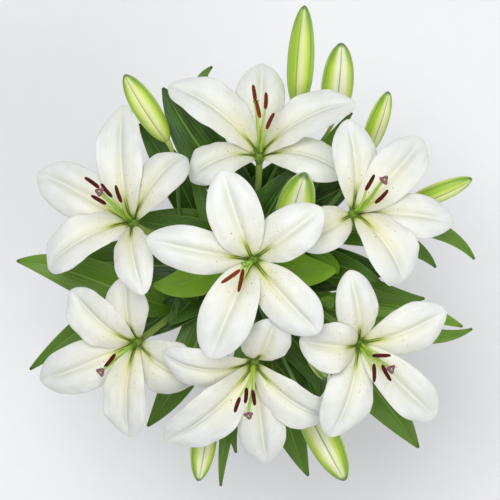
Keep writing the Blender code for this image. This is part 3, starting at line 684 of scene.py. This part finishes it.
def style_finish():
    """Fresh green that pales towards the stigma, and a deeper green ovary."""
    f = Finish("style", Subsurface_Weight=0.1, Subsurface_Scale=0.002, Coat_Weight=0.08)
    along = f.mark("along")
    streak = f.grain(f.mark("across") * 3, along * 9, f.mark("tint") * 20, 2.0)
    f.ground(along.ease(0.1, 0.9), "86b832", "b0d458")
    f.stain(streak.ease(0.4, 0.8) * 0.35, "cbe27c")
    f.stain((1 - f.mark("tint").ease(0.35, 0.55)) * 0.75, "4a7a1c")
    return f.done(Roughness=0.35 + streak * 0.15)


def stigma_finish():
    """Dusty mauve and velvety, darker in the three clefts."""
    f = Finish("stigma", Sheen_Weight=0.3)
    grain = f.noise(f.place(), 900.0, 3.0, 0.6)
    f.ground(grain.ease(0.3, 0.7), "6d3d49", "966270")
    f.stain(f.mark("across").ease(-0.2, -1.0) * 0.5, "4f2a30")
    return f.done(Roughness=0.65 + grain * 0.2, Normal=f.bump(grain, 0.0006, 0.7))


def anther_finish():
    """Red-brown pollen: grains that stand up, rusty on the ridges and near black in the groove."""
    f = Finish("anther", Specular_IOR_Level=0.25)
    grain = f.noise(f.place(), 1400.0, 4.0, 0.65)
    broad = f.noise(f.place(), 260.0, 2.0)
    f.ground(broad.ease(0.3, 0.7), "420e07", "66190a")
    f.stain(f.mark("tint").ease(0.4, 0.7) * 0.8, "94401a")
    f.stain(grain.ease(0.55, 0.75) * 0.35, "92481f")
    f.stain(f.mark("across").ease(0.5, 1.0) * 0.6, "2c0d0a")
    return f.done(Roughness=0.7 + grain * 0.2, Normal=f.bump(grain, 0.0007, 0.8))


def vase_finish():
    """Off-white glaze over thrown clay: faint rings, soft cloudy shading, a few iron specks."""
    f = Finish("vase_glaze", Coat_Weight=0.45, Coat_Roughness=0.08, Specular_IOR_Level=0.5)
    place = f.place()
    cloud = f.noise(place, 9.0, 4.0)
    height = f.node("ShaderNodeSeparateXYZ", None, {0: place}, output=2)
    rings = (height * 900 + cloud * 5).sine()
    f.ground(cloud.ease(0.3, 0.7), "ece9e2", "dedad0")
    f.stain(rings.ease(0.2, 1.0) * 0.12, "cfc9bb")
    specks = f.spots(place, 95.0)
    f.stain((1 - specks.ease(0.03, 0.09)) * 0.45, "8d7a62")
    f.stain((1 - height.ease(0.002, 0.007)) * 0.7, "c9b79c")
    return f.done(Roughness=0.16 + cloud * 0.16, Normal=f.bump(rings + cloud * 2, 0.0003, 0.5))


def floor_finish():
    """Pale matt paper with the faintest mottling."""
    f = Finish("floor", Specular_IOR_Level=0.2)
    grain = f.noise(f.place(), 40.0, 3.0)
    f.ground(grain, "f2f2f4", "f5f5f7")
    return f.done(Roughness=0.75 + grain * 0.1)


# ---------------------------------------------------------------- lilies

# Lilies whose anthers are longer than most, and lilies with a small green stigma and rustier
# anthers.
ANTHER_LENGTHS = {4: 0.0245, 2: 0.0235}
UNRIPE = (2, 4)

ANTHER_LENGTH, ANTHER_RADIUS = 0.0215, 0.0021
FILAMENT_RADII, STYLE_RADII = (0.00185, 0.00085), (0.00150, 0.00185)
OVARY_LIFT, OVARY_LENGTH, OVARY_RADIUS = 0.0007, 0.014, 0.0022
STYLE_RISE, FILAMENT_RISE, FILAMENT_OUT, THREAD_STEPS = 0.009, 0.0054, 0.0018, 36
STIGMA_RADIUS, UNRIPE_STIGMA_RADIUS = 0.0045, 0.0028
CUP_FOOT, CUP_RIM = -0.012, 0.0022
CUP_RADII = (0.0038, 0.0042, 0.0047, 0.0053, 0.0058, 0.0060, 0.0059, 0.0053, 0.0040)

# A seen tepal: its grid, the rise and fall of its width, and how much wider it is than its table
# says.
TEPAL_GRID = (88, 45)
SEEN_TEPAL_SHAPE = (1.02, 0.68)
SEEN_WIDER = 1.03


def tepal_line(base, axis, tepal, inner):
    """A tepal's midline as a Bezier curve, and the unit vector across it. It leaves the hub at a
    steep rise, and dips at the tip."""
    bearing, reach, tip_height, _, dip = tepal
    tip = from_above(axis, bearing, reach, tip_height)
    outward = unit(tip - axis * tip_height)
    lift, start = (INNER_LIFT, HUB_RADIUS - INNER_DRAW_IN) if inner else (0.0, HUB_RADIUS)
    rise, fall = np.radians(INNER_RISE if inner else OUTER_RISE), np.radians(dip)
    first = np.array([start, lift])
    last = np.array([tip @ outward, tip_height])
    length = np.linalg.norm(last - first)
    second = first + np.array([np.cos(rise), np.sin(rise)]) * THROAT_HANDLE
    third = last - np.array([np.cos(fall), -np.sin(fall)]) * (TEPAL_TIP_HANDLE * length)
    points = [base + outward * p[0] + axis * p[1] for p in (first, second, third, last)]
    return points, np.cross(axis, outward)


def add_tepal(shape, base, axis, tepal, inner, seed):
    """Adds one tepal. Across it, each half swells like |sin|, a narrow rib stands in a groove along
    the midline, the margins lift on an inner tepal and fall on an outer one, and they ripple as a
    sine that grows with the fourth power of the distance from the midline."""
    points, side = tepal_line(base, axis, tepal, inner)
    draw = np.random.default_rng(seed)
    rows, columns = TEPAL_GRID
    t = np.linspace(0, 1, rows) ** 0.92
    v = np.linspace(-1, 1, columns)[None, :]
    middle, along = bezier(points, t)
    up = np.cross(along, side)
    share = blade_share(t, SEEN_TEPAL_SHAPE)[:, None]
    t = t[:, None]
    foot = HUB_HALF_SIDE * 1.45
    end = foot + (TEPAL_TIP_HALF - foot) * t**0.5
    half = end + (tepal[3] * SEEN_WIDER / 2 - end) * share
    uneven = draw.uniform(0, 2 * np.pi, 4)
    left = 0.035 * np.sin(5.5 * t + uneven[0]) + 0.018 * np.sin(13 * t + uneven[1])
    right = 0.035 * np.sin(5.5 * t + uneven[2]) + 0.018 * np.sin(13 * t + uneven[3])
    half = half * (1 + np.where(v < 0, left, right) * ease(t, 0.1, 0.4))
    edge = np.abs(v)
    cup = (0.16 if inner else -0.16) * v**2 * share
    swell = 0.11 * np.sin(np.pi * edge) * ease(t, 0.10, 0.40) * (1 - 0.5 * ease(t, 0.8, 1.0))
    groove = -0.12 * bell(v, 0.16) + 0.11 * bell(v, 0.045)
    groove = groove * ease(t, 0.03, 0.12) * (1 - ease(t, 0.80, 0.98))
    furrow = -0.22 * bell(v, 0.22) * (1 - ease(t, 0.15, 0.40))
    phase = draw.uniform(0, 2 * np.pi, 4)
    waves = draw.uniform(1.6, 3.2, 2)
    cycle = 2 * np.pi * t
    ripple = np.where(v < 0, np.sin(waves[0] * cycle + phase[0]), np.sin(waves[1] * cycle + phase[1]))
    ripple = ripple * edge**4 * (0.085 if inner else 0.050) * ease(t, 0.15, 0.45)
    small = 0.014 * np.sin(2 * np.pi * (7.3 * t + 1.1 * v) + phase[2]) * edge**3
    curl = -draw.uniform(0.05, 0.22) * edge**3 * ease(t, 0.62, 0.98)
    bend = half * (cup + swell + groove + furrow + ripple + small + curl)
    roll = np.radians(draw.uniform(-7, 7)) * t
    across = side * np.cos(roll)[..., None] + up[:, None] * np.sin(roll)[..., None]
    lift = up[:, None] * np.cos(roll)[..., None] - side * np.sin(roll)[..., None]
    surface = middle[:, None] + across * (half * v)[..., None] + lift * bend[..., None]
    thickness = (0.00030 + 0.00075 * (1 - edge**2)) * (1 - 0.35 * t)
    add_sheet(
        shape, surface, thickness,
        along=t, across=v, reach=lengths(middle)[:, None], spread=half * v, tint=draw.uniform(),
    )


def add_receptacle(shape, base, axis):
    """Adds the small green cup under the tepals: a bell-shaped tube along the axis."""
    line = base + axis * np.linspace(CUP_FOOT, CUP_RIM, len(CUP_RADII))[:, None]
    add_tube(shape, line, CUP_RADII, 20, 1, tint=0.5)


def along_axis(base, axis, target, height, out):
    """Points to a target from beside the axis at a height, leaving along the axis."""
    spoke = target - base
    spoke = spoke - axis * (spoke @ axis)
    start = base + axis * height + unit(spoke) * out
    reach = np.linalg.norm(target - start)
    shape = (start, start + axis * (0.45 * reach), target - axis * (0.25 * reach), target)
    return bezier(shape, np.linspace(0, 1, THREAD_STEPS))[0]


def add_anther(shape, middle, direction, facing, length, seed, rust):
    """Adds an anther: a slightly bowed body with an oval section, a groove down its top and its
    bottom, and ends that round off as the root of 1 - s^4."""
    draw = np.random.default_rng(seed)
    s = np.linspace(-0.985, 0.985, 40)
    half = length / 2 * draw.uniform(0.94, 1.0)
    line = middle + direction * (s * half)[:, None] - facing * (0.0011 * s**2)[:, None]
    line += np.cross(direction, facing) * (draw.uniform(-0.0007, 0.0007) * s**2)[:, None]
    _, side, over = frames(line, np.cross(direction, facing))
    turn = np.linspace(0, 2 * np.pi, 28, endpoint=False)
    top = np.abs(np.sin(turn))
    s = s[:, None]
    radius = ANTHER_RADIUS * np.sqrt(1 - s**4) * (1 - 0.10 * s) * (1 - 0.34 * bell(top - 1, 0.16))
    rings = line[:, None] + spokes(side, over * 0.8, turn, radius)
    ends = line[0] - direction * 0.0002, line[-1] + direction * 0.0002
    tint = (rust + draw.uniform()) / 2
    add_closed(shape, rings, *ends, slot=3, along=(s + 1) / 2, across=bell(top - 1, 0.10), tint=tint)


def add_stigma(shape, end, along, seed, slot, width):
    """Adds a stigma: a flat dome whose outline is a circle swollen three times round, with three
    clefts that run to its middle."""
    reference = unit(np.cross(along, [0.3, 1.0, 0.2]))
    over = np.cross(along, reference)
    turn = np.linspace(0, 2 * np.pi, 48, endpoint=False) + seed
    rise = np.linspace(0.06, 0.97, 16)[:, None]
    lobes = np.cos(3 * turn)[None]
    radius = width * np.sin(np.pi * rise**0.8) ** 0.7 * (1 + 0.26 * lobes * ease(rise, 0.1, 0.5))
    height = -0.0016 + 0.0034 * rise - 0.0007 * (1 - lobes) / 2 * ease(rise, 0.5, 0.9)
    rings = end + spokes(reference, over, turn, radius) + along * height[..., None]
    add_closed(shape, rings, end - along * 0.0018, end + along * 0.0013, slot, along=rise, across=lobes)


def add_centre(shape, number, lily):
    """Adds a lily's ovary, style, stigma and stamens."""
    base, axis = from_lip(lily["base"]), leaning(*lily["lean"])
    floor = INNER_LIFT + OVARY_LIFT
    share = np.linspace(0, 1, 12)
    ovary = base + axis * (floor + OVARY_LENGTH * share)[:, None]
    add_tube(shape, ovary, OVARY_RADIUS * (1 - 0.35 * share**2), 18, 1, tint=0.3)
    end = base + from_above(axis, *lily["stigma"])
    style = along_axis(base, axis, end, floor + STYLE_RISE, 0)
    add_tube(shape, style, np.linspace(*STYLE_RADII, THREAD_STEPS), 14, 1, tint=0.6)
    slot, width = (1, UNRIPE_STIGMA_RADIUS) if number in UNRIPE else (2, STIGMA_RADIUS)
    add_stigma(shape, end, unit(style[-1] - style[-3]), number, slot, width)
    for place, (bearing, reach, height, lie) in enumerate(lily["stamens"]):
        end = base + from_above(axis, bearing, reach, height)
        line = along_axis(base, axis, end, floor + FILAMENT_RISE, FILAMENT_OUT)
        add_tube(shape, line, np.linspace(*FILAMENT_RADII, THREAD_STEPS), 10, tint=place / 5)
        direction = unit(from_above(axis, lie, 1.0, 0.0))
        facing = unit(axis - direction * (axis @ direction))
        length, seed = ANTHER_LENGTHS.get(number, ANTHER_LENGTH), 10 * number + place
        add_anther(shape, end + facing * 0.0008, direction, facing, length, seed, number in UNRIPE)


def lily(number, spec, finishes):
    """A lily as three pieces: its outer tepals with the cup they grow from, its inner tepals, and
    its stamens with the pistil."""
    base, axis = from_lip(spec["base"]), leaning(*spec["lean"])
    for inner, ring in ((False, "outer"), (True, "inner")):
        shape = Shape()
        for place, tepal in enumerate(spec["tepals"]):
            if (place % 2 == 1) == inner:
                add_tepal(shape, base, axis, tepal, inner, 100 * number + place)
        if not inner:
            add_receptacle(shape, base, axis)
        name = f"lily_{number}_{ring}_tepals"
        shape.piece(name + "_seen", [finishes["tepal"], finishes["cup"]], "tepal", name)
    shape = Shape()
    add_centre(shape, number, spec)
    name = f"lily_{number}_stamens_and_pistil"
    order = ("filament", "style", "stigma", "anther")
    shape.piece(name + "_seen", [finishes[key] for key in order], "stamen", name)


# ---------------------------------------------------------------- stems, buds and leaves


def stem_ends(number):
    """Where a stem stands on the vase's floor and where it passes the mouth."""
    level = np.array([*LILIES[number]["base"][:2], 0.0])
    way = unit(level) if np.linalg.norm(level) > 0.03 else level * 0
    low = way * STEM_FOOT[0] + np.array([0, 0, STEM_FOOT[1]])
    return low, way * STEM_MOUTH + np.array([0, 0, LIP])


def stem_curve(number):
    """A stem's curved part, from the vase's mouth to just under its lily."""
    axis = leaning(*LILIES[number]["lean"])
    top = from_lip(LILIES[number]["base"]) - axis * STEM_GAP
    foot, mouth = stem_ends(number)
    return mouth, mouth + unit(mouth - foot) * STEM_CURVE, top - axis * STEM_TOP_CURVE, top


def add_stalk(shape, name):
    """Adds a bud's stalk, from its stem to just under the bud, where it swells."""
    carrier, share, base, tip, _ = BUDS[name]
    start, along = (value[0] for value in bezier(stem_curve(carrier), share))
    way = unit(np.subtract(tip, base))
    end = from_lip(base) - way * STALK_GAP
    t = np.linspace(0, 1, 40)
    line = bezier((start, start + along * STALK_CURVE, end - way * STALK_CURVE, end), t)[0]
    swell = 1.25 - 0.35 * ease(t, 0, 0.25) + 0.45 * ease(t, 0.88, 1.0)
    add_tube(shape, line, STALK_RADIUS * swell, 14, tint=share)


def stem(number, finishes):
    """A stem with its bud stalks. It swells slightly at its nodes, and thins towards the lily."""
    shape = Shape()
    curve = stem_curve(number)
    foot, mouth = stem_ends(number)
    straight = foot + (mouth - foot) * np.linspace(0, 1, 28)[:-1, None]
    line = np.concatenate([straight, bezier(curve, np.linspace(0, 1, 64))[0]])
    t = np.linspace(0, 1, len(line))
    radius = STEM_RADIUS + (STEM_UPPER_RADIUS - STEM_RADIUS) * ease(t, 0.55, 0.93)
    radius = radius * (1 + 0.05 * np.maximum(np.sin(2 * np.pi * 9 * t), 0) ** 6)
    radius = radius + (RECEPTACLE_RADIUS - STEM_UPPER_RADIUS) * ease(t, 0.965, 1.0)
    add_tube(shape, line, radius, 18, tint=number / 8)
    for name, spec in BUDS.items():
        if spec[0] == number:
            add_stalk(shape, name)
    shape.piece(f"stem_{number}_seen", [finishes["stem"]], "stem", f"stem_{number}")


# How each bud is turned about its length, in degrees; how far one sepal laps the next, where 1 is
# right across a panel; and how creamy its panels are, 0 to 1.
BUD_TURNS = {
    "bud_upper_left": (197, 0.3, 0.35), "bud_top": (72, 1.6, 0.35), "bud_top_right": (96, 0.2, 0.9),
    "bud_upper_right": (110, 0.5, 0.6), "bud_right": (120, 0.8, 0.3), "bud_centre": (84, 0.5, 0.9),
    "bud_bottom_left": (80, 0.1, 0.7), "bud_bottom": (97, 0.3, 0.75), "bud_lower_right": (60, 0.5, 0.5),
}


def bud(name, finishes):
    """A bud. Its radius along it follows the bud's shape; round it, three keels swell it and three
    seams pinch it."""
    _, _, base, tip, widest = BUDS[name]
    base, tip = from_lip(base), from_lip(tip)
    way = tip - base
    along = unit(way)
    side = unit(np.cross(along, [0.0, 0.0, 1.0]))
    over = np.cross(along, side)
    t = (1 - np.cos(np.linspace(0.03, np.pi - 0.03, 90))) / 2
    start, lap, cream = BUD_TURNS[name]
    turn = np.radians(start) + np.linspace(0, 2 * np.pi, 96, endpoint=False)
    keel = np.cos(3 * (turn - turn[0]))[None]
    t = t[:, None]
    seam = bell(1 + keel, 0.10)
    radius = widest * blade_share(t, BUD_SHAPE) * (1 + 0.035 * keel - 0.055 * seam * ease(t, 0.02, 0.2))
    radius = radius * (1 + 0.03 * np.sin(5 * t + turn[0]))
    radius = np.minimum(radius, widest)
    rings = base + way * t[..., None] + spokes(side, over, turn, radius)
    shape = Shape()
    sway = np.sin(3 * (turn - turn[0]))[None]
    add_closed(shape, rings, base, tip, along=t, across=keel, spread=sway, tint=lap, reach=cream)
    shape.piece(name + "_seen", [finishes["bud"]], "bud", name)


def leaf_line(spec):
    """A leaf's midline as a Bezier curve from its stem to its tip."""
    carrier, share, leaving, ending, tip, _, arch, _ = spec
    tip = from_lip(tip)
    start, along = (value[0] for value in bezier(stem_curve(carrier), share))
    way = heading(leaving)
    clear = way - along * (way @ along)
    narrowed = min(max(share * 9 - 4, 0), 1)
    base = start + unit(clear) * (STEM_RADIUS + (STEM_UPPER_RADIUS - STEM_RADIUS) * narrowed + 0.0008)
    span = tip - base
    level = np.hypot(span[0], span[1])
    climb = np.array([0, 0, LEAF_CLIMB * span[2]])
    out = way * (LEAF_HANDLES[0] * level) + climb + np.array([0, 0, LEAF_ARCH[0] * arch])
    back = heading(ending) * (LEAF_HANDLES[1] * level) + climb - np.array([0, 0, LEAF_ARCH[1] * arch])
    return base, base + out, tip - back, tip


def leaf(name, spec, finishes, *stands_for):
    """A leaf blade: folded like a shallow V along its midline, with rounded shoulders and margins
    that wave as a slow sine."""
    draw = np.random.default_rng(sum(name.encode()))
    t = np.linspace(0, 1, 96)
    v = np.linspace(-1, 1, 25)[None, :]
    middle, along = bezier(leaf_line(spec), t)
    side = unit(np.cross([0.0, 0.0, 1.0], along))
    up = np.cross(along, side)
    share = blade_share(t, LEAF_SHAPE)[:, None]
    t = t[:, None]
    half = 0.0012 + (spec[5] / 2 - 0.0012) * share
    edge = np.abs(v)
    fold = 0.22 * (np.sqrt(v**2 + 0.02) - 0.14) + 0.07 * np.sin(np.pi * edge)
    phase = draw.uniform(0, 2 * np.pi, 2)
    wave = np.where(v < 0, np.sin(9 * t + phase[0]), np.sin(8 * t + phase[1]))
    bend = half * (fold + wave * edge**2 * 0.10 * ease(t, 0.1, 0.3))
    surface = middle[:, None] + side[:, None] * (half * v)[..., None] + up[:, None] * bend[..., None]
    shape = Shape()
    add_sheet(
        shape, surface, 0.00035 + 0.0006 * (1 - edge) ** 2,
        along=t, across=v, reach=lengths(middle)[:, None], spread=half * v, tint=spec[-1],
    )
    shape.piece(name + "_seen", [finishes["leaf"]], "leaf", *stands_for)


# ---------------------------------------------------------------- vase


def vase(finishes):
    """The vase: its profile turned round Z. The outer radius eases with a cosine between foot,
    belly, neck and lip, the inner one lies a wall inside it, and foot and lip are rounded."""
    low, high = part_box("vase")
    top = high.z
    places = np.array([0.0, VASE_BELLY_HEIGHT, top - VASE_NECK_DROP, top])
    radii = np.array([VASE_FOOT_RADIUS, (high.x - low.x) / 2, VASE_NECK_RADIUS, VASE_LIP_RADIUS])

    def outer(z):
        step = np.clip(np.searchsorted(places, z, side="right") - 1, 0, 2)
        share = (z - places[step]) / (places[step + 1] - places[step])
        return radii[step] + (radii[step + 1] - radii[step]) * (1 - np.cos(np.pi * share)) / 2

    lip, foot_round, bowl_round, hollow = VASE_WALL / 2, 0.0030, 0.004, 0.02
    z = np.linspace(0.0035, top - lip, 70)
    quarter = np.radians(np.linspace(0, 90, 7))
    sines, cosines = np.sin(quarter), np.cos(quarter)
    foot = zip(outer(0.0) - foot_round * (1 - sines), foot_round * (1 - cosines))
    side = [(outer(h), h) for h in z[1:]]
    over = np.radians(np.linspace(10, 170, 12))
    rim = zip(outer(top) - lip + lip * np.cos(over), top - lip + lip * np.sin(over))
    inside = [(outer(h) - VASE_WALL, h) for h in z[::-1] if h > VASE_FLOOR + bowl_round]
    last = outer(VASE_FLOOR) - VASE_WALL
    bowl = zip(last - bowl_round * (1 - cosines), VASE_FLOOR + bowl_round * (1 - sines))
    profile = np.array([(hollow, 0), *foot, *side, *rim, *inside, *bowl, (hollow, VASE_FLOOR)])
    turn = np.linspace(0, 2 * np.pi, 144, endpoint=False)
    across, beside, up = np.eye(3)
    rings = spokes(across, beside, turn, profile[:, :1]) + up * profile[:, 1, None, None]
    shape = Shape()
    add_closed(shape, rings, (0, 0, 0), (0, 0, VASE_FLOOR), along=profile[:, 1:] / top)
    shape.piece("vase_seen", [finishes["vase"]], "vase", "vase")


# ---------------------------------------------------------------- floor, light and camera

FLOOR_REACH = 9.0

# Each lamp: where it hangs, its width and its watts; the point that they aim at; and the colour and
# strength of the surround.
LAMPS = {"key": ((-0.6, 1.0, 4.0), 2.4, 80), "fill": ((2.2, -1.4, 3.3), 3.0, 47)}
LAMP_AIM = (0.0, 0.0, 0.4)
SURROUND = (0.95, 0.97, 1.0, 1.0), 0.44

CAMERA_HEIGHT, CAMERA_LENS, CAMERA_SENSOR = 3.0, 174.9, 36.0


def stage():
    """A pale floor, a bright even surround, a large soft light high overhead, a little behind and
    to the left, and a fainter one at the front right."""
    mesh = bpy.data.meshes.new("floor")
    corners = [(x * FLOOR_REACH, y * FLOOR_REACH, 0) for x, y in ((-1, -1), (1, -1), (1, 1), (-1, 1))]
    mesh.from_pydata(corners, [], [(0, 1, 2, 3)])
    mesh.materials.append(floor_finish())
    stand("floor", mesh)
    for name, (at, size, watts) in LAMPS.items():
        lamp = bpy.data.lights.new(name, "AREA")
        lamp.shape, lamp.size, lamp.energy = "DISK", size, watts
        held = stand(name, lamp)
        held.location = at
        aim = mathutils.Vector(LAMP_AIM) - mathutils.Vector(at)
        held.rotation_euler = aim.to_track_quat("-Z", "Y").to_euler()
    world = bpy.data.worlds.new("surround")
    world.use_nodes = True
    tint, strength = world.node_tree.nodes["Background"].inputs[:2]
    tint.default_value, strength.default_value = SURROUND
    bpy.context.scene.world = world
    bpy.context.scene.view_settings.view_transform = "Standard"


def camera():
    """The camera: straight above the middle, looking down, with +Y up the picture."""
    lens = bpy.data.cameras.new("camera")
    lens.sensor_width, lens.lens = CAMERA_SENSOR, CAMERA_LENS
    held = stand("camera", lens)
    held.location = (0.0, 0.0, CAMERA_HEIGHT)
    bpy.context.scene.camera = held


def build():
    """Makes every finish, then every piece, then the stage."""
    finishes = {
        "tepal": tepal_finish(), "leaf": leaf_finish(), "bud": bud_finish(), "stem": stem_finish(),
        "filament": filament_finish(), "style": style_finish(), "stigma": stigma_finish(),
        "anther": anther_finish(), "vase": vase_finish(), "cup": cup_finish(),
    }
    for number, spec in LILIES.items():
        stem(number, finishes)
        lily(number, spec, finishes)
    for name in BUDS:
        bud(name, finishes)
    for name, spec in LEAVES.items():
        leaf(name, spec, finishes, name)
    for name, spec in FILLERS.items():
        leaf(name, spec, finishes)
    vase(finishes)
    stage()
    camera()


build()
